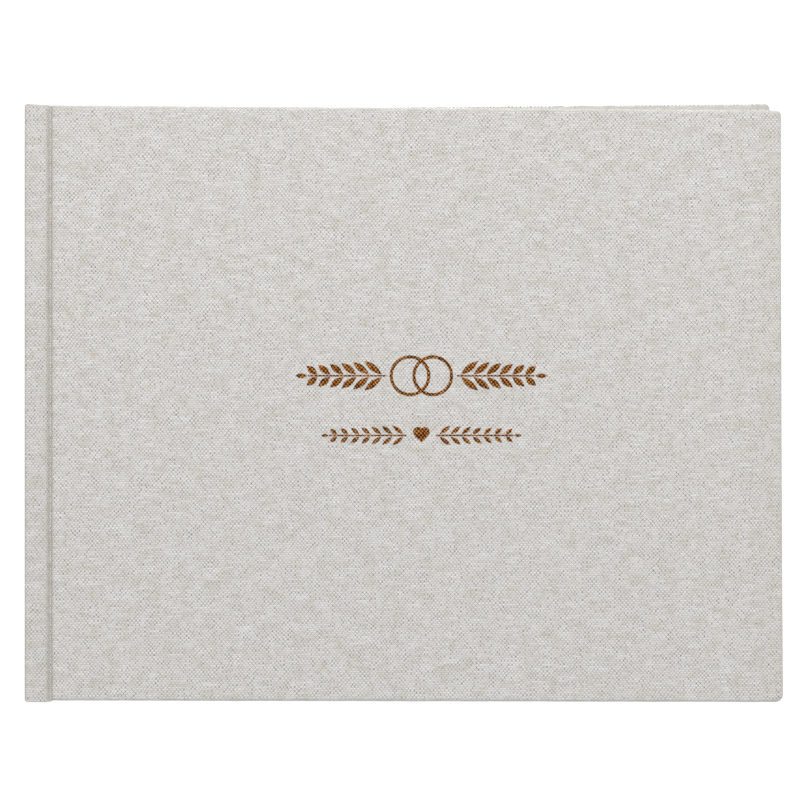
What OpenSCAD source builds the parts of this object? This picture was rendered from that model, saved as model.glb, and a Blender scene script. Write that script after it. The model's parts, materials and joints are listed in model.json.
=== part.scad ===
// A landscape wedding guest book: sewn sections of blank leaves in linen-covered boards, with a
// square spine and a pressed joint groove. The closed book lies on its back cover. X runs from
// the spine to the fore-edge, Y from the tail to the head and Z up through the thickness.
// The origin is the middle of the underside.

/* [Book] */
// Width from the spine to the fore-edge
book_w = 280; // [240:5:320]
// Height from tail to head, measured along the spine
book_h = 220; // [180:5:240]
// Thickness of the closed book
book_t = 21; // [19:0.5:26]

/* [Covers] */
// Thickness of the greyboard in both covers
board_t = 2.5; // [2:0.1:2.8]
// Thickness of the linen bookcloth
cloth_t = 0.4; // [0.3:0.05:0.5]
// Width of the cloth turned in over the inner face of a board
turn_in_w = 15; // [10:1:20]
// Distance from the spine to the near edge of a cover's cloth
joint_w = 10.1; // [9.8:0.1:12]
// Width of the flat strip of cloth between the spine and the groove
strip_w = 7.5; // [6.5:0.1:8]
// Width of the curved bank from the strip to the floor of the groove
bank_w = 2.2; // [1.5:0.1:2.2]
// Depth of the joint groove
groove_depth = 2.5; // [1.5:0.1:2.6]
// How far the covers stand back from the ends of the spine at head and tail
cover_setback = 0.5; // [0:0.1:1]
// Radius of the fore-edge corners of the covers
corner_r = 2.5; // [1:0.5:5]
// Slant of the front cover's head and tail edges, in degrees
front_skew = -0.27; // [-0.7:0.01:0.7]
// Slant of the back cover's head and tail edges, in degrees
back_skew = 0.65; // [-0.7:0.01:0.7]
// Slant of the front cover's fore-edge, in degrees: the tail corner reaches further
front_fore_slant = 0.2; // [0:0.01:0.7]
// Slant of the back cover's fore-edge, in degrees: the tail corner reaches further
back_fore_slant = 0.6; // [0:0.01:0.7]

/* [Spine] */
// Thickness of the spine board
spine_board_t = 2; // [1.5:0.1:2]
// Thickness of the paper liner, and of the mull under it
liner_t = 0.2; // [0.1:0.05:0.2]
// Diameter of the sewing thread
thread_d = 0.4; // [0.3:0.05:0.4]
// Length of each run of sewing thread along the fold
thread_run = 22; // [15:1:30]
// Width of the head and tail bands
band_w = 1.8; // [1.2:0.1:2]

/* [Paper] */
// How far the covers overhang the leaves
square_w = 3.5; // [3:0.5:5]
// Thickness of one leaf, of a flyleaf and of the sheet pasted to a board
paper_t = 0.2; // [0.15:0.01:0.25]
// Air between neighbouring leaves that turn separately
leaf_gap = 0.05; // [0.03:0.01:0.08]

/* [Ornament] */
// Thickness of the foil
foil_t = 0.1; // [0.05:0.05:0.2]
// Place of the ornament's middle, from the middle of the book
ornament_at = [6, -1]; // [-20:1:20]
// Overall width of the upper garland, and of the lower sprigs
garland_w = 93; // [80:1:110]
sprig_w = 74; // [60:1:80]
// Outer diameter of the two rings
ring_d = 15; // [12:0.5:18]
// Width of a ring's band
ring_band = 1.1; // [0.8:0.1:1.4]
// Length of the largest leaf of the garland
leaf_len = 8; // [6:0.5:9]

/* [Hidden] */
SECTIONS = 8;
TURNED_SECTIONS = 2;
LOOSE_LEAVES = 5;
THREAD_STATIONS = 4;

spine_x = -book_w / 2;
fore_x = book_w / 2;
cover_half_h = book_h / 2 - cover_setback;
board_x = spine_x + joint_w + cloth_t;
inner_z = 2 * cloth_t + board_t + paper_t;

block_x = spine_x + 3.6;
block_w = fore_x - square_w - block_x;
block_h = book_h - 2 * (cover_setback + square_w);
leaf_pitch = paper_t + leaf_gap;
front_flyleaf_z = book_t - inner_z - leaf_pitch;
back_flyleaf_z = inner_z + leaf_gap;
sewn_bottom = back_flyleaf_z + leaf_pitch;
sewn_h = front_flyleaf_z - leaf_gap - sewn_bottom;
section_pitch = (sewn_h + leaf_gap - LOOSE_LEAVES * leaf_pitch) / SECTIONS;

spine_end_gap = 0.05;
spine_z = cloth_t + spine_end_gap;
spine_span = book_t - 2 * spine_z;
mull_x = block_x - 0.1 - thread_d - liner_t;

linen = [0.80, 0.79, 0.77];
greyboard = [0.55, 0.52, 0.47];
paper = [0.95, 0.94, 0.91];
kraft = [0.70, 0.58, 0.43];
gauze = [0.90, 0.89, 0.84];
silk = [0.92, 0.89, 0.82];
copper = [0.70, 0.43, 0.22];

SECTION_NODES = [for (i = [1:SECTIONS]) str("section_", i)];
LEAVES = [for (i = [1:LOOSE_LEAVES]) str("leaf_", i)];

// ---- Covers. Each is drawn with its outer face at z = 0 and its inner face up. ----

function arc(centre, r, from, to) =
    [for (i = [0:6]) let (a = from + (to - from) * i / 6) centre + r * [cos(a), sin(a)]];

// A slant is a pair of angles: that of the head and tail edges, then that of the fore-edge
front_slant = [front_skew, front_fore_slant];
back_slant = [back_skew, back_fore_slant];

// The outline of a cover: square at the joint, rounded at the fore-edge, with slanted edges
function cover_outline(x0, x1, half_h, r, slant) =
    let (
        corners = concat(arc([x1 - r, -half_h + r], r, -90, 0), arc([x1 - r, half_h - r], r, 0, 90)),
        slanted = [for (p = corners) [p[0] - (p[1] + cover_half_h) * tan(slant[1]), p[1]]]
    )
    [for (p = concat([[x0, -half_h]], slanted, [[x0, half_h]]))
        [p[0], p[1] + (p[0] - board_x) * tan(slant[0])]];

module cover_plate(inset, x0, z0, t, slant)
    translate([0, 0, z0])
        linear_extrude(t)
            polygon(cover_outline(x0, fore_x - inset, cover_half_h - inset,
                                  max(corner_r - inset, 0.5), slant));

// The bank that leads from the flat strip down to the floor of the groove, i from 0 to 1. It
// starts gently, and is steepest near the floor.
function bank_turn(i) = 180 * pow(i, 2.5);
function bank(i) = [spine_x + strip_w + bank_w * i, groove_depth * (1 - cos(bank_turn(i))) / 2];
function bank_inside(i) = bank(i) + cloth_t * [-sin(bank_turn(i)), 1];

BANK_STEPS = 10;
joint_profile = concat(
    [[spine_x, 0]],
    [for (i = [0:BANK_STEPS]) bank(i / BANK_STEPS)],
    [[board_x - cloth_t / 2, groove_depth], [board_x - cloth_t / 2, groove_depth + cloth_t]],
    [for (i = [BANK_STEPS:-1:0]) bank_inside(i / BANK_STEPS)],
    [[spine_x, cloth_t]]
);

module joint_cloth()
    translate([0, book_h / 2, 0])
        rotate([90, 0, 0])
            linear_extrude(book_h)
                polygon(joint_profile);

module board(slant) cover_plate(cloth_t, board_x, cloth_t, board_t, slant);

module cloth(slant) {
    joint_cloth();
    difference() {
        cover_plate(0, board_x - cloth_t, 0, 2 * cloth_t + board_t, slant);
        cover_plate(cloth_t, board_x, cloth_t, board_t, slant);
        cover_plate(turn_in_w, board_x, cloth_t + board_t, 2 * cloth_t, slant);
    }
}

// A sheet pasted over the inner face, thicker where it sinks between the turn-ins
module pastedown(slant) {
    cover_plate(turn_in_w, board_x, cloth_t + board_t, cloth_t, slant);
    cover_plate(square_w, board_x, 2 * cloth_t + board_t, paper_t, slant);
}

module face_down() translate([0, 0, book_t]) mirror([0, 0, 1]) children();

module back_board() color(greyboard) board(back_slant);
module back_cloth() color(linen) cloth(back_slant);
module back_pastedown() color(paper) pastedown(back_slant);
module front_board() color(greyboard) face_down() board(front_slant);
module front_cloth() color(linen) face_down() cloth(front_slant);
module front_pastedown() color(paper) face_down() pastedown(front_slant);

// ---- Leaves and sections ----

module sheet(z, t) translate([block_x, -block_h / 2, z]) cube([block_w, block_h, t]);

module back_flyleaf() color(paper) sheet(back_flyleaf_z, paper_t);
module front_flyleaf() color(paper) sheet(front_flyleaf_z, paper_t);

// Sections are numbered from the front, so the first is on top. The loose leaves belong to the
// section after the turned ones, and lie between the two.
function section_z(i) =
    front_flyleaf_z - i * section_pitch - (i > TURNED_SECTIONS ? LOOSE_LEAVES * leaf_pitch : 0);

module section(i) color(paper) sheet(section_z(i), section_pitch - leaf_gap);
module leaf(i) color(paper) sheet(section_z(TURNED_SECTIONS) - i * leaf_pitch, paper_t);

// ---- Spine ----

module spine_board()
    color(greyboard)
        translate([spine_x + cloth_t, -cover_half_h, spine_z])
            cube([spine_board_t, 2 * cover_half_h, spine_span]);

// The cloth covers the back of the spine board and turns over its two ends
module spine_cloth()
    color(linen)
        difference() {
            translate([spine_x, -book_h / 2, spine_z])
                cube([cloth_t + spine_board_t, book_h, spine_span]);
            translate([spine_x + cloth_t, -cover_half_h, spine_z - 1])
                cube([spine_board_t + 1, 2 * cover_half_h, spine_span + 2]);
        }

module spine_strip(x, half_h)
    translate([x, -half_h, sewn_bottom]) cube([liner_t, 2 * half_h, sewn_h]);

module mull() color(gauze) spine_strip(mull_x, block_h / 2 - 12);
module spine_liner() color(kraft) spine_strip(mull_x - liner_t, block_h / 2 - 3);

// One run of thread on the fold of each sewn section at every sewing station
module sewing_thread()
    color(silk)
        for (i = [1:SECTIONS], k = [0:THREAD_STATIONS - 1])
            translate([
                block_x - 0.05 - thread_d / 2,
                ((k + 0.5) / THREAD_STATIONS - 0.5) * (block_h - 30) + thread_run / 2,
                section_z(i) + section_pitch / 2
            ])
                rotate([90, 0, 0]) cylinder(d = thread_d, h = thread_run, $fn = 16);

// A rolled band with a flat tape behind it, standing on the end of the sewn sections
module band(side)
    color(silk)
        translate([block_x + band_w / 2, side * (block_h + band_w) / 2, sewn_bottom])
            cylinder(d = band_w, h = sewn_h, $fn = 32);

module headband() band(1);
module tailband() band(-1);

// ---- Foil ornament: two linked rings in a garland, over a pair of sprigs ----

LEAF_STEPS = 6;
function leaf_outline(l, w) = concat(
    [for (i = [0:LEAF_STEPS]) [l * i / LEAF_STEPS, w / 2 * sin(180 * i / LEAF_STEPS)]],
    [for (i = [LEAF_STEPS - 1:-1:1]) [l * i / LEAF_STEPS, -w / 2 * sin(180 * i / LEAF_STEPS)]]
);

// A straight stem with pairs of leaves that shrink towards its tip
module sprig(x0, x1, pairs, size) {
    stem_w = 0.5;
    spacing = (x1 - x0 - size * 0.6) / pairs;
    translate([x0, -stem_w / 2]) square([x1 - x0 - size * 0.6, stem_w]);
    for (i = [0:pairs - 1], side = [-1, 1])
        translate([x0 + spacing * (i + 0.3), side * stem_w])
            rotate(side * 38)
                polygon(leaf_outline(size * (1 - 0.45 * i / pairs), size * 0.3));
    translate([x1 - size * 0.55, 0])
        polygon(leaf_outline(size * 0.55, size * 0.22));
}

module ring(x)
    translate([x, 0])
        difference() {
            circle(d = ring_d, $fn = 96);
            circle(d = ring_d - 2 * ring_band, $fn = 96);
        }

module heart(size)
    rotate(45) {
        square(size, center = true);
        translate([size / 2, 0]) circle(d = size, $fn = 48);
        translate([0, size / 2]) circle(d = size, $fn = 48);
    }

module foil_ornament() {
    ring_shift = ring_d * 0.28;
    row_gap = 28;
    color(copper)
        translate([ornament_at[0], ornament_at[1], book_t])
            linear_extrude(foil_t) {
                translate([0, row_gap / 2 - 3]) {
                    ring(-ring_shift);
                    ring(ring_shift);
                    for (m = [0, 1])
                        mirror([m, 0])
                            sprig(ring_shift + ring_d / 2 + 1.5, garland_w / 2, 6, leaf_len);
                }
                translate([0, -row_gap / 2 + 3]) {
                    heart(3.6);
                    for (m = [0, 1])
                        mirror([m, 0]) sprig(5.5, sprig_w / 2, 7, leaf_len * 0.62);
                }
            }
}

back_board();
back_cloth();
back_pastedown();
back_flyleaf();
spine_board();
spine_cloth();
spine_liner();
mull();
sewing_thread();
headband();
tailband();
for (i = [1:SECTIONS])
    section(i);
for (i = [1:LOOSE_LEAVES])
    leaf(i);
front_flyleaf();
front_board();
front_cloth();
front_pastedown();
foil_ornament();
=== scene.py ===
import json
import math
import random

import bpy
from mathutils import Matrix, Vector


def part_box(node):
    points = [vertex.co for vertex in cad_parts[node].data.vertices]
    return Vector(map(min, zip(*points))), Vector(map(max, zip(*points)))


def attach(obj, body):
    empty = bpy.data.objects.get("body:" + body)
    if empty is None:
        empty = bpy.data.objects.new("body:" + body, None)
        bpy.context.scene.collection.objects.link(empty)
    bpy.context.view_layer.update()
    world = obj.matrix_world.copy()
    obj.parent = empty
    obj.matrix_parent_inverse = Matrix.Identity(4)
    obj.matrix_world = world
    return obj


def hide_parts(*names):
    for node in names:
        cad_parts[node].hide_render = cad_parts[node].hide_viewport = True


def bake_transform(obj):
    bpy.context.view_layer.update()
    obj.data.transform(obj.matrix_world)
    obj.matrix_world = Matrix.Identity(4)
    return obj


# A landscape guest book in linen bookcloth. Lengths in this script are in metres, in the CAD
# frame: X from the spine to the fore-edge, Y from the tail to the head, Z up.

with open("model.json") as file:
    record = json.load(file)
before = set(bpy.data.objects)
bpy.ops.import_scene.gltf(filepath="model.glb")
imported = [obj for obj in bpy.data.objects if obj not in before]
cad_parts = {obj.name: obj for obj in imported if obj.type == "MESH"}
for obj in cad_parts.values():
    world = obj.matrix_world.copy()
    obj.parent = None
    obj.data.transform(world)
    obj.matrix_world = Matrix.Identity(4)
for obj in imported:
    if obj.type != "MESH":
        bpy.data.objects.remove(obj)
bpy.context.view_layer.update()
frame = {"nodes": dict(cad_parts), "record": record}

MM = 0.001

# ---------------------------------------------------------------- places taken from the frame

spine_lo, spine_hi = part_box("spine_cloth")
board_lo, board_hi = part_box("front_board")
cloth_lo, cloth_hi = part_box("front_cloth")
leaf_lo, leaf_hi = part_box("front_flyleaf")
sheet_lo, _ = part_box("front_pastedown")

SPINE_X = spine_lo.x
FORE_X = cloth_hi.x
TOP_Z = cloth_hi.z
BOARD_X = board_lo.x
STRIP_HALF = spine_hi.y
CLOTH_T = TOP_Z - board_hi.z
COVER_T = TOP_Z - cloth_lo.z
SHEET_T = cloth_lo.z - sheet_lo.z
FOLD_X = leaf_lo.x
LEAF_END_X = leaf_hi.x
LEAF_HALF = leaf_hi.y
# How far the covers reach past the leaves
SQUARE = FORE_X - LEAF_END_X


def board_edges(node):
    """The slopes of a board's head edge and of its fore-edge, and its half height at the joint,
    from the board's own corners."""
    corners = [vertex.co for vertex in frame["nodes"][node].data.vertices]
    joint = max(corners, key=lambda c: c.y - 1000 * c.x)
    head = max((c for c in corners if c.x > 0.9 * FORE_X), key=lambda c: c.y)
    fore_head = max((c for c in corners if c.y > 0), key=lambda c: c.x)
    fore_tail = max((c for c in corners if c.y < 0), key=lambda c: c.x)
    end_slope = (head.y - joint.y) / (head.x - joint.x)
    fore_slope = (fore_tail.x - fore_head.x) / (fore_head.y - fore_tail.y)
    return end_slope, fore_slope, joint.y


FRONT_SLANT, FRONT_FORE_SLANT, BOARD_HALF = board_edges("front_board")
BACK_SLANT, BACK_FORE_SLANT, _ = board_edges("back_board")
COVER_HALF = BOARD_HALF + CLOTH_T

# The tail corners are a little rounder than the head corners
TAIL_CORNER_R = 3.0 * MM
HEAD_CORNER_R = 1.8 * MM
SPINE_CORNER_R = 1.3 * MM
# How hollow the fore-edge is
FORE_BOW = 0.22 * MM
# How round the cloth is over a board's outer and inner arris
EDGE_R = 1.0 * MM
INNER_R = 0.5 * MM
# How far the cloth is turned in over a board
TURN_IN = 15 * MM
# The leaves bend from their fold to here
GUTTER_END_X = FOLD_X + 13 * MM

# Distances across the joint, in mm from the outside of the spine: the flat strip ends, the
# groove's bottom, where the cloth starts to rise to the board, and where it is level on it
STRIP_END = 6.8
GROOVE_FLOOR = 9.4
BOARD_RISE = 9.6
JOINT_END = 10.8
GROOVE_DEPTH = 1.95

# Where the bottom of the groove and the spine's corner lie on the unrolled cloth
GROOVE_U = BOARD_X - 2.3 * MM
CORNER_U = SPINE_X - 2.0 * MM

# From one thread to the next, and from one visible line to the next on the cut edges
WARP_PITCH = 0.69 * MM
WEFT_PITCH = 0.79 * MM
LEAF_LINES = 0.35 * MM

rng = random.Random(7)

# ---------------------------------------------------------------- node helpers


class Shader:
    """A material's node tree, with short calls for the nodes used here."""

    def __init__(self, name):
        self.material = bpy.data.materials.new(name)
        self.material.use_nodes = True
        self.tree = self.material.node_tree
        self.bsdf = self.tree.nodes["Principled BSDF"]
        self.output = self.tree.nodes["Material Output"]

    def put(self, socket, value):
        if isinstance(value, bpy.types.NodeSocket):
            self.tree.links.new(value, socket)
        elif value is not None:
            socket.default_value = value

    def node(self, kind, **settings):
        made = self.tree.nodes.new(kind)
        for key, value in settings.items():
            setattr(made, key, value)
        return made

    def math(self, operation, a, b=None, c=None, clamp=False):
        made = self.node("ShaderNodeMath", operation=operation, use_clamp=clamp)
        for socket, value in zip(made.inputs, (a, b, c)):
            self.put(socket, value)
        return made.outputs[0]

    def mix(self, factor, a, b, blend="MIX"):
        made = self.node("ShaderNodeMix", data_type="RGBA", blend_type=blend)
        self.put(made.inputs[0], factor)
        self.put(made.inputs[6], a)
        self.put(made.inputs[7], b)
        return made.outputs[2]

    def ramp(self, value, low, high, to_low=0.0, to_high=1.0):
        made = self.node("ShaderNodeMapRange", clamp=True)
        for socket, given in zip(made.inputs, (value, low, high, to_low, to_high)):
            self.put(socket, given)
        return made.outputs[0]

    def vector(self, x, y, z=0.0):
        made = self.node("ShaderNodeCombineXYZ")
        for socket, value in zip(made.inputs, (x, y, z)):
            self.put(socket, value)
        return made.outputs[0]

    def noise(self, vector, scale, detail=2.0, roughness=0.5):
        made = self.node("ShaderNodeTexNoise")
        self.put(made.inputs["Vector"], vector)
        self.put(made.inputs["Scale"], scale)
        self.put(made.inputs["Detail"], detail)
        self.put(made.inputs["Roughness"], roughness)
        return made.outputs[0]

    def random(self, value, seed):
        made = self.node("ShaderNodeTexWhiteNoise", noise_dimensions="2D")
        self.put(made.inputs["Vector"], self.vector(value, seed))
        return made.outputs["Value"]

    def position(self):
        """Object coordinates. Every object sits at the origin, so they are the frame's."""
        coords = self.node("ShaderNodeTexCoord").outputs["Object"]
        split = self.node("ShaderNodeSeparateXYZ")
        self.put(split.inputs[0], coords)
        return coords, split.outputs[0], split.outputs[1], split.outputs[2]

    def unrolled(self):
        """Place on the cloth as it lay flat, in metres, from the piece's own UV map."""
        split = self.node("ShaderNodeSeparateXYZ")
        self.put(split.inputs[0], self.node("ShaderNodeUVMap", uv_map="weave").outputs[0])
        return split.outputs[0], split.outputs[1]

    def bump(self, height, strength, distance, normal=None):
        made = self.node("ShaderNodeBump")
        self.put(made.inputs["Height"], height)
        made.inputs["Strength"].default_value = strength
        made.inputs["Distance"].default_value = distance
        if normal is not None:
            self.put(made.inputs["Normal"], normal)
        return made.outputs[0]

    def finish(self, colour, roughness, normal=None, **constants):
        self.put(self.bsdf.inputs["Base Color"], colour)
        self.put(self.bsdf.inputs["Roughness"], roughness)
        if normal is not None:
            self.put(self.bsdf.inputs["Normal"], normal)
        for name, value in constants.items():
            self.bsdf.inputs[name.replace("_", " ")].default_value = value
        return self.material


def linear(red, green, blue):
    """A colour given as on screen, 0 to 255, as the linear RGBA that a shader takes."""
    def channel(value):
        value /= 255
        return value / 12.92 if value <= 0.04045 else ((value + 0.055) / 1.055) ** 2.4
    return (channel(red), channel(green), channel(blue), 1.0)


# ---------------------------------------------------------------- materials


def weave(shader, u, v):
    """A coarse plain weave, warp along v and weft along u. Gives its height from 0 to 1, how far
    a warp thread is on top (up to 1 in the middle of its crossing, -1 where the weft is on
    top), the gaps between weft threads, and the slow change in tone along each thread."""
    stray_scale = 130.0
    slub_scale = 90.0
    stray_warp = shader.noise(shader.vector(u, v), stray_scale)
    stray_weft = shader.noise(shader.vector(u, v, 4.0), stray_scale)
    # The threads' own numbers across the cloth, which stray by a thread or two
    a = shader.math("MULTIPLY_ADD", stray_warp, 2.6, shader.math("DIVIDE", u, WARP_PITCH))
    b = shader.math("MULTIPLY_ADD", stray_weft, 1.8, shader.math("DIVIDE", v, WEFT_PITCH))
    wave_a = shader.math("SINE", shader.math("MULTIPLY", a, math.pi))
    wave_b = shader.math("SINE", shader.math("MULTIPLY", b, math.pi))
    crossing = shader.math("MULTIPLY", wave_a, wave_b)
    along_warp = shader.vector(shader.math("FLOOR", a), shader.math("MULTIPLY", v, slub_scale))
    along_weft = shader.vector(
        shader.math("MULTIPLY", u, slub_scale), shader.math("FLOOR", b), 9.0)
    slub_warp = shader.noise(along_warp, 1.0, 3.0, 0.65)
    slub_weft = shader.noise(along_weft, 1.0, 3.0, 0.65)
    over = shader.math("MULTIPLY", shader.math("SIGN", wave_a), wave_b)
    under = shader.math("MULTIPLY", shader.math("SIGN", wave_b), wave_a)
    round_warp = shader.math("POWER", shader.math("ABSOLUTE", wave_a), 0.6)
    round_weft = shader.math("POWER", shader.math("ABSOLUTE", wave_b), 0.6)
    warp = shader.math("MULTIPLY", round_warp, shader.math("MULTIPLY_ADD", over, 0.45, 0.5))
    weft = shader.math("MULTIPLY", round_weft, shader.math("MULTIPLY_ADD", under, -0.45, 0.55))
    height = shader.math("MAXIMUM", warp, weft)
    # Some crossings are pressed flatter than others
    crossing = shader.math("SUBTRACT", crossing, shader.math(
        "MULTIPLY", shader.random(shader.math("FLOOR", a), shader.math("FLOOR", b)), 0.45))
    row_gap = shader.ramp(shader.math("ABSOLUTE", wave_b), 0.0, 0.55, 1.0, 0.0)
    return height, crossing, row_gap, slub_warp, slub_weft


def linen_colour(shader, u, v):
    """Pale weft floats between small darker warp crossings, partly painted shade, with fawn flecks in
    the flax, and painted shade in the weave's gaps and hollows. Gives the colour and the weave's
    height."""
    height, crossing, row_gap, slub_warp, slub_weft = weave(shader, u, v)
    pale = linear(235, 235, 234)
    dull = linear(216, 214, 211)
    warp_light = linear(180, 176, 169)
    warp_dark = linear(100, 95, 85)
    fawn = linear(190, 174, 150)
    # The next colour is painted shade: in the weave's gaps and hollows, at the spine's corner and
    # over the strip
    shade_tone = linear(146, 141, 131)
    # The next colour is painted warm shade, for the groove and the fore-edge
    warm_shade = linear(166, 140, 98)
    weft_tone = shader.mix(shader.ramp(slub_weft, 0.35, 0.65), dull, pale)
    warp_tone = shader.mix(shader.ramp(slub_warp, 0.35, 0.65), warp_dark, warp_light)
    # The darker warp crossings are partly the warp's own tone and partly painted shade of the holes
    # between threads
    tone = shader.mix(shader.ramp(crossing, 0.1, 0.8), weft_tone, warp_tone)
    cloud = shader.noise(shader.vector(u, v, 5.0), 190.0, 3.0, 0.6)
    tone = shader.mix(shader.ramp(cloud, 0.48, 0.72, 0.0, 0.30), tone, fawn)
    fleck = shader.noise(
        shader.vector(shader.math("MULTIPLY", u, 300.0), shader.math("DIVIDE", v, WEFT_PITCH), 7.0),
        1.0, 2.0)
    tone = shader.mix(shader.ramp(fleck, 0.60, 0.78, 0.0, 0.6), tone, fawn)
    # Painted shade in the gaps between weft threads
    tone = shader.mix(shader.math("MULTIPLY", row_gap, 0.5), tone, shade_tone)
    # The groove and the fore-edge are a little darker and warmer: painted warm shade in the groove's
    # crease and along the fore-edge
    from_groove = shader.math("ABSOLUTE", shader.math("SUBTRACT", u, GROOVE_U))
    tone = shader.mix(shader.ramp(from_groove, 0.6 * MM, 3.2 * MM, 0.12, 0.0), tone, warm_shade)
    tone = shader.mix(shader.ramp(u, FORE_X - 15 * MM, FORE_X - 4 * MM, 0.0, 0.06), tone, warm_shade)
    # The corner at the spine is darkened with painted shade, and so slightly is the strip beside it
    from_corner = shader.math("ABSOLUTE", shader.math("SUBTRACT", u, CORNER_U))
    tone = shader.mix(shader.ramp(from_corner, 0.3 * MM, 1.1 * MM, 0.3, 0.0), tone, shade_tone)
    tone = shader.mix(shader.ramp(u, GROOVE_U - MM, GROOVE_U, 0.05, 0.0), tone, shade_tone)
    # Painted shade in the weave's hollows, where the threads are low
    tone = shader.mix(shader.ramp(height, 0.10, 0.45), shade_tone, tone)
    return tone, height


def linen_material():
    """Coarse plain-weave linen bookcloth."""
    shader = Shader("linen_bookcloth")
    u, v = shader.unrolled()
    tone, height = linen_colour(shader, u, v)
    fuzz = shader.noise(shader.vector(u, v), 5200.0, 2.0)
    relief = shader.math("MULTIPLY_ADD", fuzz, 0.18, height)
    normal = shader.bump(relief, 0.5, 0.16 * MM)
    return shader.finish(tone, 0.92, normal, Sheen_Weight=0.12, Specular_IOR_Level=0.25)


def foil_material():
    """Copper foil stamped on the weave, with painted highlights on the raised weft floats and painted
    dark reflections and shade over the warp crossings, the gaps and broad patches."""
    shader = Shader("copper_foil")
    _, x, y, _ = shader.position()
    height, crossing, _, slub_warp, slub_weft = weave(shader, x, y)
    # The bright and copper tones are painted highlights, the deep and dark tones painted dark
    # reflections and shade
    bright = linear(220, 156, 84)
    copper = linear(168, 100, 42)
    deep = linear(84, 41, 8)
    dark = linear(42, 18, 2)
    lit = shader.mix(shader.ramp(slub_weft, 0.35, 0.65), copper, bright)
    low = shader.mix(shader.ramp(slub_warp, 0.35, 0.65), dark, deep)
    # Broad patches of painted dark reflection
    reflection_patch = shader.noise(shader.vector(x, y), 700.0, 2.0)
    level = shader.math("MULTIPLY_ADD", shader.math("SUBTRACT", reflection_patch, 0.5), 2.4, crossing)
    tone = shader.mix(shader.ramp(level, -0.95, 0.15), lit, low)
    # Painted shade in the weave's hollows
    tone = shader.mix(shader.ramp(height, 0.10, 0.45), dark, tone)
    normal = shader.bump(height, 0.8, 0.14 * MM)
    return shader.finish(tone, 0.45, normal, Metallic=0.85)


def paper_material(name, colour, shade, line):
    """Uncoated paper: soft fibres, a little tooth, and a slightly different tone from one leaf to the
    next. The cut edges show the leaves as fine darker lines of painted shade between them."""
    shader = Shader(name)
    coords, _, y, _ = shader.position()
    rest_x, level = shader.unrolled()
    fibres = shader.noise(coords, 900.0, 4.0, 0.7)
    clouds = shader.noise(coords, 28.0, 3.0, 0.6)
    tone = shader.mix(shader.ramp(fibres, 0.35, 0.72, 0.0, 0.6), colour, shade)
    tone = shader.mix(shader.ramp(clouds, 0.3, 0.7, 0.0, 0.4), tone, shade)
    # The hinges turn round Y, so Y and the X of the closed book tell a cut edge in every pose
    from_ends = shader.math("SUBTRACT", LEAF_HALF, shader.math("ABSOLUTE", y))
    from_fore = shader.math("SUBTRACT", LEAF_END_X, rest_x)
    cut_edge = shader.ramp(shader.math("MINIMUM", from_ends, from_fore), 0.2 * MM, 0.3 * MM, 1.0, 0.0)
    # A line fades in and out along the edge every tenth of a metre or so
    along = shader.math("MULTIPLY", shader.math("ADD", rest_x, y), 9.0)
    leaves = shader.noise(
        shader.vector(along, shader.math("DIVIDE", level, LEAF_LINES)), 1.0, 2.0, 0.7)
    # The darker lines on the cut edges are painted shade between the leaves
    lines = shader.math("MULTIPLY", shader.ramp(leaves, 0.42, 0.66, 0.0, 0.85), cut_edge)
    tone = shader.mix(lines, tone, line)
    normal = shader.bump(fibres, 0.25, 0.03 * MM)
    return shader.finish(tone, 0.88, normal, Specular_IOR_Level=0.3)


def board_material():
    """Grey millboard: pressed fibres with darker and paler shreds."""
    shader = Shader("greyboard")
    _, x, y, z = shader.position()
    stretched = shader.vector(
        shader.math("MULTIPLY", x, 0.35), y, shader.math("MULTIPLY", z, 3.0))
    shreds = shader.noise(stretched, 1400.0, 5.0, 0.7)
    tone = shader.mix(shader.ramp(shreds, 0.35, 0.65), linear(118, 111, 100), linear(166, 159, 147))
    return shader.finish(tone, 0.95, shader.bump(shreds, 0.4, 0.08 * MM))


def kraft_material():
    """Brown kraft paper with fine ribs."""
    shader = Shader("kraft_liner")
    coords, _, y, _ = shader.position()
    rib_rate = 9000.0
    ribs = shader.math("SINE", shader.math("MULTIPLY", y, rib_rate))
    fibres = shader.noise(coords, 1100.0, 4.0, 0.7)
    tone = shader.mix(shader.ramp(fibres, 0.3, 0.7), linear(150, 112, 74), linear(186, 150, 108))
    relief = shader.math("MULTIPLY_ADD", ribs, 0.2, fibres)
    return shader.finish(tone, 0.9, shader.bump(relief, 0.3, 0.03 * MM))


def gauze_material():
    """Mull: an open cotton gauze over paler glue."""
    shader = Shader("mull_gauze")
    _, _, y, z = shader.position()
    mesh_rate = 3600.0
    lines_y = shader.math("ABSOLUTE", shader.math("SINE", shader.math("MULTIPLY", y, mesh_rate)))
    lines_z = shader.math("ABSOLUTE", shader.math("SINE", shader.math("MULTIPLY", z, mesh_rate)))
    threads = shader.math("MAXIMUM", lines_y, lines_z)
    tone = shader.mix(shader.ramp(threads, 0.75, 0.95), linear(190, 172, 138), linear(232, 227, 212))
    return shader.finish(tone, 0.9, shader.bump(threads, 0.5, 0.1 * MM))


def thread_material():
    """Waxed linen thread with its twist."""
    shader = Shader("linen_thread")
    _, _, y, z = shader.position()
    twist_rate = 9000.0
    slant = shader.math("MULTIPLY_ADD", z, 1.6, y)
    twist = shader.math("SINE", shader.math("MULTIPLY", slant, twist_rate))
    tone = shader.mix(shader.ramp(twist, -1.0, 1.0), linear(196, 184, 156), linear(236, 228, 206))
    return shader.finish(tone, 0.6, shader.bump(twist, 0.5, 0.05 * MM))


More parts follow.
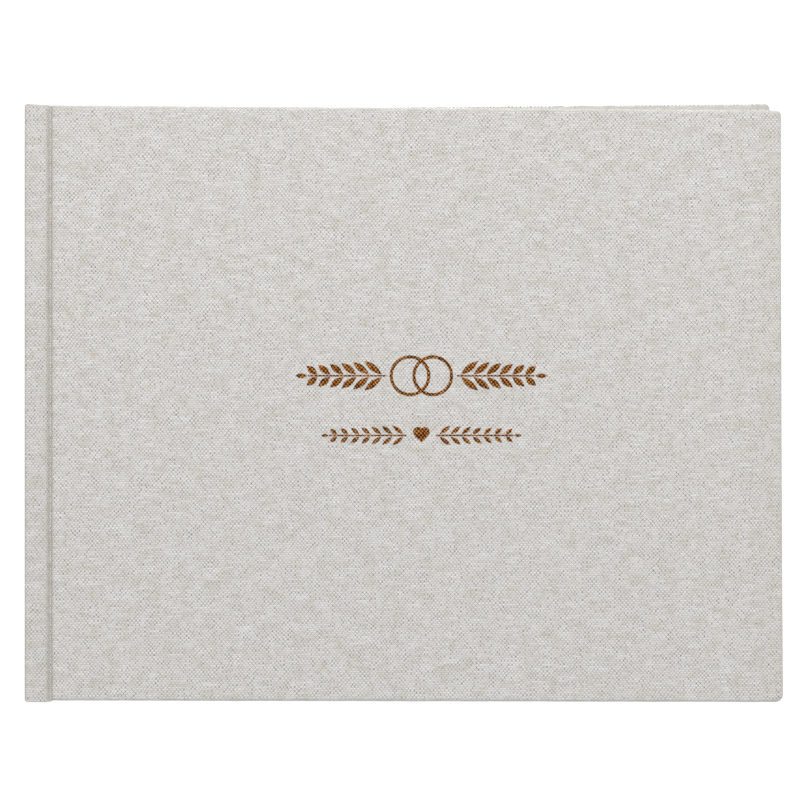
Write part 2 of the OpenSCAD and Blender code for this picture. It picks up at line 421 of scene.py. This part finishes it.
def band_material():
    """Silk-wound band, striped in cream and fawn."""
    shader = Shader("band_silk")
    _, x, y, z = shader.position()
    stripe_pair = 4.4 * MM
    stripe = shader.math("GREATER_THAN", shader.math("SINE", shader.math(
        "MULTIPLY", z, 2 * math.pi / stripe_pair)), 0.0)
    strands = shader.noise(shader.vector(x, y, shader.math("MULTIPLY", z, 8.0)), 1500.0, 2.0)
    cream = shader.mix(strands, linear(222, 214, 194), linear(244, 240, 228))
    fawn = shader.mix(strands, linear(168, 138, 100), linear(202, 176, 138))
    tone = shader.mix(stripe, cream, fawn)
    return shader.finish(tone, 0.45, shader.bump(strands, 0.35, 0.05 * MM), Sheen_Weight=0.3)


LINEN = linen_material()
FOIL = foil_material()
# The last colour given to each paper is the painted shade of the lines between leaves on its cut
# edges
ENDPAPER = paper_material(
    "endpaper", linear(242, 240, 234), linear(233, 230, 221), linear(220, 213, 200))
PAGE = paper_material(
    "page_paper", linear(244, 242, 237), linear(236, 233, 225), linear(212, 204, 189))
BOARD = board_material()
KRAFT = kraft_material()
GAUZE = gauze_material()
THREAD = thread_material()
SILK = band_material()

# ---------------------------------------------------------------- mesh helpers


def make_object(name, points, faces, material, uvs=None, smooth=True):
    mesh = bpy.data.meshes.new(name)
    mesh.from_pydata(points, [], faces)
    mesh.validate()
    if uvs is not None:
        layer = mesh.uv_layers.new(name="weave")
        for loop in mesh.loops:
            layer.data[loop.index].uv = uvs[loop.vertex_index]
    mesh.polygons.foreach_set("use_smooth", [smooth] * len(mesh.polygons))
    mesh.materials.append(material)
    made = bpy.data.objects.new(name, mesh)
    bpy.context.scene.collection.objects.link(made)
    return made


def steps(start, end, count):
    return [start + (end - start) * i / count for i in range(count + 1)]


def clamped(value):
    return min(max(value, 0), 1)


def waviness(seed):
    """A smooth function of one length, from -1 to 1, with waves from a few to some tens of mm."""
    draw = random.Random(seed)
    waves = [(2 * math.pi / (length * MM), draw.uniform(0, 2 * math.pi))
             for length in (9, 17, 31, 70)]
    return lambda t: sum(math.sin(k * t + phase) for k, phase in waves) / len(waves)


# ---------------------------------------------------------------- cover cloth


def edge_profile():
    """How the cloth turns round a board's edge: (inset, share of the way down) from the outer
    face to the inner face."""
    rounds = []
    for i in range(5):
        angle = math.pi / 2 * i / 4
        rounds.append((EDGE_R * (1 - math.sin(angle)), EDGE_R * (1 - math.cos(angle)) / COVER_T))
    for i in range(4):
        angle = math.pi / 2 * i / 3
        rounds.append((INNER_R * (1 - math.cos(angle)),
                       1 - INNER_R * (1 - math.sin(angle)) / COVER_T))
    return rounds


def joint_columns():
    """The cloth from the spine's corner over the strip, down into the groove and up to the
    board. Each column is (outer x, outer depth, inner x, inner depth, arc length from it to the
    last column), in mm."""
    level = 0.03
    crease = 0.86 * math.pi
    # The corner at the spine, then the strip, which sinks by a tenth of a millimetre
    outer = [(0, 2.2), (0, 1.5), (0.02, 1.0), (0.12, 0.62), (0.35, 0.28), (0.7, 0.08), (1.2, 0.0)]
    for s in steps(2, STRIP_END, 8):
        outer.append((s, level + 0.07 * math.sin(math.pi * (s - 1.2) / 6.4)))
    # The bank down to the groove's bottom, and the short steep rise to the board
    for t in steps(0, 1, 14)[1:]:
        fall = (1 - math.cos(crease * t ** 1.8)) / (1 - math.cos(crease))
        outer.append((STRIP_END + (GROOVE_FLOOR - STRIP_END) * t,
                      level + (GROOVE_DEPTH - level) * fall))
    outer += [(9.52, 1.9), (9.66, 1.75), (9.78, 1.5), (9.9, 1.18), (10.08, 0.8), (10.36, 0.4),
              (JOINT_END, 0.1)]

    # The inner side runs at the cloth's thickness, then away under the board
    cloth = CLOTH_T / MM
    rise_start = 9.5
    under_depth = 2.5
    under_end = (BOARD_X - SPINE_X) / MM + 1
    columns = []
    for i, (s, depth) in enumerate(outer):
        before = outer[max(i - 1, 0)]
        after = outer[min(i + 1, len(outer) - 1)]
        dx, dz = after[0] - before[0], after[1] - before[1]
        length = math.hypot(dx, dz)
        inner = (s - cloth * dz / length, depth + cloth * dx / length)
        if i == 0:
            inner = (cloth, depth)
        if s > rise_start:
            share = (s - rise_start) / (JOINT_END - rise_start)
            inner = (GROOVE_FLOOR + (under_end - GROOVE_FLOOR) * share,
                     under_depth + (COVER_T / MM - under_depth) * min(1, 3 * share))
        columns.append((s, depth, inner[0], inner[1]))
    lengths = [0.0]
    for (s0, d0, _, _), (s1, d1, _, _) in zip(columns, columns[1:]):
        lengths.append(lengths[-1] + math.hypot(s1 - s0, d1 - d0))
    return [(s, d, si, di, lengths[-1] - run) for (s, d, si, di), run in zip(columns, lengths)]


def near_fore(x):
    """0 over the spine's half of a cover, rising evenly to 1 at the fore-edge."""
    return clamped((x - 0.5 * FORE_X) / (0.5 * FORE_X))


def cover_cloth(name, end_slope, fore_slope, seed, facing_up):
    """The cloth of one cover, the strip and the groove: a closed shell with the board inside.
    It is built face up and turned over for the back cover."""
    profile = edge_profile()
    wave = waviness(seed)
    rows = 150
    turns = [math.pi / 2 * i / 7 for i in range(8)]
    joint = joint_columns()
    joint_end = joint[-1][0] * MM + SPINE_X
    flat_x = steps(joint_end, FORE_X - TAIL_CORNER_R, 180)[1:-1]
    # Columns up to here lie on straight edges, and the rest go round the fore-edge's corners
    first_corner = len(joint) + len(flat_x)
    columns = first_corner + len(turns)

    def column(k, i, corner_r):
        """(x, half height, depth, u) of edge ring k at column i, for the end of the cover with
        corners of radius corner_r."""
        inset, share = profile[k]
        if i < len(joint):
            s, depth, inner_s, inner_depth, left = joint[i]
            on_rise = clamped((s - BOARD_RISE) / 0.7)
            # The strip's head end is cut a little short and slants down to the groove
            trim = (0.1 + 0.047 * s) * MM if corner_r == HEAD_CORNER_R else 0
            half = STRIP_HALF - trim + (COVER_HALF - STRIP_HALF + trim) * on_rise
            thin = 0.35 + 0.65 * on_rise
            x = SPINE_X + (s + (inner_s - s) * share) * MM
            z = (depth + (inner_depth - depth) * share) * MM
            beyond = max(0, SPINE_CORNER_R - s * MM)
            corner = SPINE_CORNER_R - math.sqrt(SPINE_CORNER_R ** 2 - beyond ** 2)
            return x, half - inset * thin - 0.8 * corner, z, joint_end - left * MM
        if i < first_corner:
            x = flat_x[i - len(joint)]
            return x, COVER_HALF - inset, share * COVER_T, x
        angle = turns[i - first_corner]
        radius = corner_r - inset
        x = FORE_X - corner_r + radius * math.sin(angle)
        return x, COVER_HALF - corner_r + radius * math.cos(angle), share * COVER_T, x

    points, uvs, faces = [], [], []

    def add(x, y, depth, u, v):
        """One point of the square, straight cover, moved to its place on the slanted one."""
        hollow = FORE_BOW * max(0, 1 - (y / COVER_HALF) ** 2)
        shift = (fore_slope * (y + COVER_HALF) + hollow) * near_fore(x)
        lean = end_slope * max(x - BOARD_X, 0)
        points.append((x - shift, y + lean, TOP_Z - depth if facing_up else depth))
        uvs.append((u - shift, v + lean))
        return len(points) - 1

    arc = [0.0]
    for (d0, s0), (d1, s1) in zip(profile, profile[1:]):
        arc.append(arc[-1] + math.hypot(d1 - d0, (s1 - s0) * COVER_T))

    # Rings round the three free edges, each as tail, fore-edge and head
    rings = []
    for k, (_, share) in enumerate(profile):
        tail = []
        head = []
        round_share = math.sin(math.pi * min(share + 0.2, 1))
        for i in range(columns):
            for side, corner_r, line in ((-1, TAIL_CORNER_R, tail), (1, HEAD_CORNER_R, head)):
                x, half, depth, u = column(k, i, corner_r)
                on_board = clamped((x - joint_end) / (8 * MM))
                puff = 0.06 * MM * wave(x + 0.3 * side) * round_share * on_board
                line.append(add(x, side * (half + puff), depth, u, side * (half + arc[k])))
        tail_x, tail_half, depth, u = column(k, columns - 1, TAIL_CORNER_R)
        head_half = column(k, columns - 1, HEAD_CORNER_R)[1]
        fore = []
        for y in steps(-tail_half, head_half, rows)[1:-1]:
            fore.append(add(tail_x + 0.05 * MM * wave(y + 0.5) * share, y, depth, u + arc[k], y))
        rings.append((tail, fore, head))
    loops = [tail + fore + head[::-1] for tail, fore, head in rings]
    for ring, beyond in zip(loops, loops[1:]):
        for m in range(len(ring) - 1):
            faces.append((ring[m], beyond[m], beyond[m + 1], ring[m + 1]))

    def face_grid(k, sink):
        """The face inside ring k, column by column from tail to head."""
        tail, fore, head = rings[k]
        grid = []
        for i in range(columns - 1):
            tail_x, tail_half, depth, u = column(k, i, TAIL_CORNER_R)
            head_x, head_half, _, _ = column(k, i, HEAD_CORNER_R)
            line = [tail[i]]
            for j in range(1, rows):
                share = j / rows
                x = tail_x + (head_x - tail_x) * share
                y = -tail_half + (head_half + tail_half) * share
                line.append(add(x, y, depth + sink(x, y), u + (head_x - tail_x) * share, y))
            line.append(head[i])
            grid.append(line)
        grid.append([tail[-1]] + fore + [head[-1]])
        return grid

    def swell(x, y):
        """A breath of unevenness in the glued cloth, below the level of its edges."""
        share = clamped((x - joint_end) / (20 * MM))
        return 0.03 * MM * share * (1 + wave(x * 0.37 + y * 0.6))

    def turn_in_step(x, y):
        """The inner face sinks to the board inside the turn-ins."""
        inside = min(COVER_HALF - abs(y), FORE_X - x) > TURN_IN
        return -CLOTH_T * 0.9 if inside and x > joint_end else 0

    outer = face_grid(0, swell)
    inner = face_grid(len(profile) - 1, turn_in_step)
    for grid, order in ((outer, 1), (inner, -1)):
        for left, right in zip(grid, grid[1:]):
            for j in range(rows):
                quad = (left[j], right[j], right[j + 1], left[j + 1])
                faces.append(quad[::order])
    # Close the end of the shell at the spine
    start_tail = [tail[0] for tail, _, _ in rings]
    start_head = [head[0] for _, _, head in rings]
    faces.append(tuple(start_tail + inner[0][1:-1] + start_head[::-1] + outer[0][1:-1][::-1]))
    if not facing_up:
        faces = [face[::-1] for face in faces]
    return make_object(name, points, faces, LINEN, uvs)


front_cloth = cover_cloth("front_cover_cloth", FRONT_SLANT, FRONT_FORE_SLANT, 11, True)
back_cloth = cover_cloth("back_cover_cloth", BACK_SLANT, BACK_FORE_SLANT, 12, False)

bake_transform(front_cloth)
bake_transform(back_cloth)
for piece, node in ((front_cloth, "front_cloth"), (back_cloth, "back_cloth")):
    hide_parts(node)

# ---------------------------------------------------------------- spine cloth


def spine_cloth():
    """The cloth on the back of the spine board, turned in over its two ends."""
    turn = 12 * MM
    radius = 1.1 * MM
    clear = 0.9 * MM
    # The turn-ins lie on the board's inner side, so they stand proud of it
    proud = 0.2 * MM
    depth = spine_hi.x - spine_lo.x + proud
    straight = STRIP_HALF - radius
    quarter = steps(0, math.pi / 2, 4)[1:]
    half = [(depth, y) for y in steps(turn - STRIP_HALF, -straight, 6)]
    half += [(depth - radius * (1 - math.cos(angle)), -straight - radius * math.sin(angle))
             for angle in quarter]
    half += [(radius * (1 - math.sin(angle)), -straight - radius * math.cos(angle))
             for angle in quarter]
    half += [(0, y) for y in steps(-straight, 0, 60)[1:]]
    whole = half + [(x, -y) for x, y in half[-2::-1]]
    runs = [0.0]
    for (x0, y0), (x1, y1) in zip(whole, whole[1:]):
        runs.append(runs[-1] + math.hypot(x1 - x0, y1 - y0))
    middle = runs[-1] / 2
    rows = 26
    low, high = clear, TOP_Z - clear
    points, uvs, faces = [], [], []
    for (x, y), along in zip(whole, runs):
        for z in steps(low, high, rows):
            # The back of the spine is a little full
            bulge = 0.12 * MM * math.sin(math.pi * (z - low) / (high - low))
            inward = 0.06 * MM - bulge if x < radius else 0
            points.append((SPINE_X + x + inward, y, z))
            uvs.append((SPINE_X - 2 * TOP_Z + z, along - middle))
    for i in range(len(whole) - 1):
        for j in range(rows):
            a = i * (rows + 1) + j
            faces.append((a, a + 1, a + rows + 2, a + rows + 1))
    made = make_object("spine_linen", points, faces, LINEN, uvs)
    shell = made.modifiers.new("cloth_thickness", "SOLIDIFY")
    shell.thickness = 0.35 * MM
    shell.offset = -1
    return made


spine_linen = spine_cloth()
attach(spine_linen, "text_block")
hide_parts("spine_cloth")

# ---------------------------------------------------------------- folded and single sheets


def gutter_stations():
    """Places across a leaf, close together where it bends at the gutter."""
    bend = steps(FOLD_X, GUTTER_END_X, 26)
    flat = steps(GUTTER_END_X, LEAF_END_X, 12)
    return bend + flat[1:]


def ribbon(points, faces, path, half, thickness):
    """Adds a sheet that follows path, a line of (x, z) across the book, to points and faces."""
    first = len(points)
    for i, (x, z) in enumerate(path):
        before = path[max(i - 1, 0)]
        after = path[min(i + 1, len(path) - 1)]
        dx, dz = after[0] - before[0], after[1] - before[1]
        length = math.hypot(dx, dz)
        nx, nz = -dz / length * thickness / 2, dx / length * thickness / 2
        points += [(x + nx, -half, z + nz), (x + nx, half, z + nz),
                   (x - nx, -half, z - nz), (x - nx, half, z - nz)]
    for i in range(len(path) - 1):
        a = first + 4 * i
        b = a + 4
        faces += [(a, b, b + 1, a + 1), (a + 2, a + 3, b + 3, b + 2),
                  (a, a + 2, b + 2, b), (a + 1, b + 1, b + 3, a + 3)]
    last = first + 4 * (len(path) - 1)
    faces += [(first, first + 1, first + 3, first + 2), (last, last + 2, last + 3, last + 1)]


def leaf_uvs(points):
    """Place across the book and height in the closed block, for the paper's fine lines."""
    return [(x, z) for x, _, z in points]


def section_mesh(name, low, high, folios=4):
    """Folded sheets nested in one another, their folds at the spine. Their cut edges are not
    quite even."""
    pitch = (high - low) / (2 * folios)
    middle = (low + high) / 2
    points, faces = [], []
    for m in range(folios):
        reach = (m + 0.5) * pitch
        half = LEAF_HALF - rng.uniform(0, 0.08) * MM
        end_x = LEAF_END_X - rng.uniform(0, 0.12) * MM
        bend_x = FOLD_X + (folios - 0.5) * pitch
        flat = [min(x, end_x) for x in gutter_stations() if x > bend_x + 0.2 * MM]
        upper = [(x, middle + reach) for x in flat[::-1]]
        fold = [(bend_x - reach * math.sin(angle), middle + reach * math.cos(angle))
                for angle in steps(0, math.pi, 6)]
        lower = [(x, middle - reach) for x in flat]
        ribbon(points, faces, upper + fold + lower, half, 0.84 * pitch)
    return make_object(name, points, faces, PAGE, leaf_uvs(points), smooth=False)


def leaf_mesh(name, low, high, material):
    """One single sheet."""
    points, faces = [], []
    half = LEAF_HALF - rng.uniform(0, 0.1) * MM
    path = [(x, (low + high) / 2) for x in gutter_stations()]
    ribbon(points, faces, path, half, 0.9 * (high - low))
    return make_object(name, points, faces, material, leaf_uvs(points), smooth=False)


turned = [n for members in frame["record"]["behaviour"]["bodies"].values() if len(members) == 1
          for n in members]
section_nodes = sorted(n for n in frame["nodes"] if n.startswith("section_"))
leaf_nodes = sorted(n for n in frame["nodes"] if n.startswith("leaf_"))

for node in section_nodes:
    lo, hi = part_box(node)
    piece = section_mesh("folded_" + node, lo.z, hi.z)
    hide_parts(node)
    if node in turned:
        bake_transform(piece)
    else:
        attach(piece, "text_block")

for node in leaf_nodes + ["front_flyleaf", "back_flyleaf"]:
    lo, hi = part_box(node)
    is_page = node in leaf_nodes
    piece = leaf_mesh("sheet_" + node, lo.z, hi.z, PAGE if is_page else ENDPAPER)
    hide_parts(node)
    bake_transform(piece)

# ---------------------------------------------------------------- pastedowns


def pastedown(name, end_slope, fore_slope, facing_up):
    """The sheet pasted inside a cover and carried over the joint to the first fold. It sinks
    a little where the turn-ins end under it."""
    level = COVER_T + SHEET_T
    half = COVER_HALF - SQUARE
    thickness = 0.15 * MM
    # The sheet steps down over this distance to each side of a turn-in's end
    step = 0.8 * MM
    drop = 0.28 * MM
    turn_x = FORE_X - TURN_IN
    turn_y = COVER_HALF - TURN_IN
    stations = steps(FOLD_X, BOARD_X, 14) + steps(BOARD_X, BOARD_X + 4 * MM, 4)[1:]
    stations += steps(BOARD_X + 4 * MM, turn_x - step, 30)[1:]
    stations += steps(turn_x - step, turn_x + step, 6)[1:]
    stations += steps(turn_x + step, LEAF_END_X, 5)[1:]
    rows = steps(-half, -turn_y - step, 5) + steps(-turn_y - step, -turn_y + step, 6)[1:]
    rows += steps(-turn_y + step, turn_y - step, 30)[1:]
    rows += steps(turn_y - step, turn_y + step, 6)[1:] + steps(turn_y + step, half, 5)[1:]

    def sink(x, y):
        inside = min(turn_y - abs(y), turn_x - x)
        t = clamped((inside + step) / (2 * step))
        return drop * t * t * (3 - 2 * t) * clamped((x - BOARD_X) / (3 * MM))

    points, faces = [], []
    for layer in (0, thickness):
        for x in stations:
            lean = end_slope * max(x - BOARD_X, 0)
            # Over the joint the sheet is trimmed like the leaves
            trim = 1 - 0.01 * clamped((BOARD_X - x) / (6 * MM))
            for y in rows:
                shift = fore_slope * (y + COVER_HALF) * near_fore(x)
                depth = level - layer - sink(x, y) - 0.02 * MM
                z = TOP_Z - depth if facing_up else depth
                points.append((x - shift, y * trim + lean, z))
    count, wide = len(stations), len(rows)
    size = count * wide
    for i in range(count - 1):
        for j in range(wide - 1):
            a = i * wide + j
            quad = (a, a + 1, a + wide + 1, a + wide)
            faces.append(quad)
            faces.append(tuple(size + q for q in quad[::-1]))
    rim = list(range(wide)) + [i * wide + wide - 1 for i in range(1, count)]
    rim += [(count - 1) * wide + j for j in range(wide - 2, -1, -1)]
    rim += [i * wide for i in range(count - 2, -1, -1)]
    for a, b in zip(rim, rim[1:]):
        faces.append((b, a, size + a, size + b))
    if not facing_up:
        faces = [face[::-1] for face in faces]
    return make_object(name, points, faces, ENDPAPER, [(x, level) for x, _, _ in points])


front_paste = pastedown("front_endpaper", FRONT_SLANT, FRONT_FORE_SLANT, True)
back_paste = pastedown("back_endpaper", BACK_SLANT, BACK_FORE_SLANT, False)
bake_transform(front_paste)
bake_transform(back_paste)
for piece, node in ((front_paste, "front_pastedown"), (back_paste, "back_pastedown")):
    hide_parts(node)

# ---------------------------------------------------------------- headband and tailband


def wound_band(name, node):
    """A band wound with silk: a roll with a ridge at every turn of the winding."""
    lo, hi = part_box(node)
    centre_x, centre_y = (lo.x + hi.x) / 2, (lo.y + hi.y) / 2
    radius = (hi.x - lo.x) / 2
    wraps = 25
    around = 18
    rings = wraps * 6
    points, faces = [], []
    for i in range(rings + 1):
        z = lo.z + (hi.z - lo.z) * i / rings
        ridge = abs(math.sin(math.pi * wraps * i / rings)) ** 0.7
        r = radius * (0.84 + 0.14 * ridge)
        for k in range(around):
            angle = 2 * math.pi * k / around
            points.append((centre_x + r * math.cos(angle), centre_y + r * math.sin(angle), z))
    for i in range(rings):
        for k in range(around):
            a = i * around + k
            b = i * around + (k + 1) % around
            faces.append((a, b, b + around, a + around))
    faces.append(tuple(range(around))[::-1])
    faces.append(tuple(rings * around + k for k in range(around)))
    made = make_object(name, points, faces, SILK)
    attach(made, "text_block")
    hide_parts(node)


wound_band("wound_headband", "headband")
wound_band("wound_tailband", "tailband")

# ---------------------------------------------------------------- CAD nodes that stay

for names, material in ((("front_board", "back_board", "spine_board"), BOARD),
                        (("spine_liner",), KRAFT), (("mull",), GAUZE),
                        (("sewing_thread",), THREAD), (("foil_ornament",), FOIL)):
    for name in names:
        node = frame["nodes"][name]
        node.data.materials.clear()
        node.data.materials.append(material)

# ---------------------------------------------------------------- floor, light and camera

# The floor glows, so that it is as white as the sky
floor_shader = Shader("studio_floor")
floor_shader.put(floor_shader.bsdf.inputs["Base Color"], (0.35, 0.35, 0.35, 1))
floor_shader.bsdf.inputs["Roughness"].default_value = 1.0
floor_shader.bsdf.inputs["Emission Color"].default_value = (1, 1, 1, 1)
floor_shader.bsdf.inputs["Emission Strength"].default_value = 0.80
FLOOR_REACH = 40.0
floor = make_object(
    "studio_floor",
    [(x * FLOOR_REACH, y * FLOOR_REACH, 0) for x, y in ((-1, -1), (1, -1), (1, 1), (-1, 1))],
    [(0, 1, 2, 3)], floor_shader.material)


def aimed_at(place, target):
    return (Vector(target) - Vector(place)).to_track_quat("-Z", "Y")


def area_light(name, place, size, power):
    data = bpy.data.lights.new(name, "AREA")
    data.shape = "DISK"
    data.size = size
    data.energy = power
    light = bpy.data.objects.new(name, data)
    light.location = place
    light.rotation_mode = "QUATERNION"
    light.rotation_quaternion = aimed_at(place, (0, 0, 0))
    bpy.context.scene.collection.objects.link(light)


area_light("key", (-0.05, 1.22, 1.12), 1.0, 17)
area_light("fill", (0.3, -0.8, 1.7), 1.2, 3)

world = bpy.data.worlds.new("studio")
world.use_nodes = True
world.node_tree.nodes["Background"].inputs[0].default_value = (1, 1, 1, 1)
world.node_tree.nodes["Background"].inputs[1].default_value = 0.55
bpy.context.scene.world = world
bpy.context.scene.view_settings.view_transform = "Standard"

# The camera looks down from 1 m, a little to the spine's side of the middle
CAMERA_PLACE = Vector((-23 * MM, -0.25 * MM, 1.0))
AIM = Vector((-0.6 * MM, -0.25 * MM, TOP_Z))
VIEW_WIDTH = 297.5 * MM
SENSOR = 36.0

camera_data = bpy.data.cameras.new("camera")
camera_data.sensor_width = SENSOR
camera_data.lens = SENSOR * (CAMERA_PLACE - AIM).length / VIEW_WIDTH
camera_data.clip_start = 0.05
camera = bpy.data.objects.new("camera", camera_data)
camera.location = CAMERA_PLACE
camera.rotation_euler = (0, -math.atan2(AIM.x - CAMERA_PLACE.x, CAMERA_PLACE.z - AIM.z), 0)
bpy.context.scene.collection.objects.link(camera)
bpy.context.scene.camera = camera
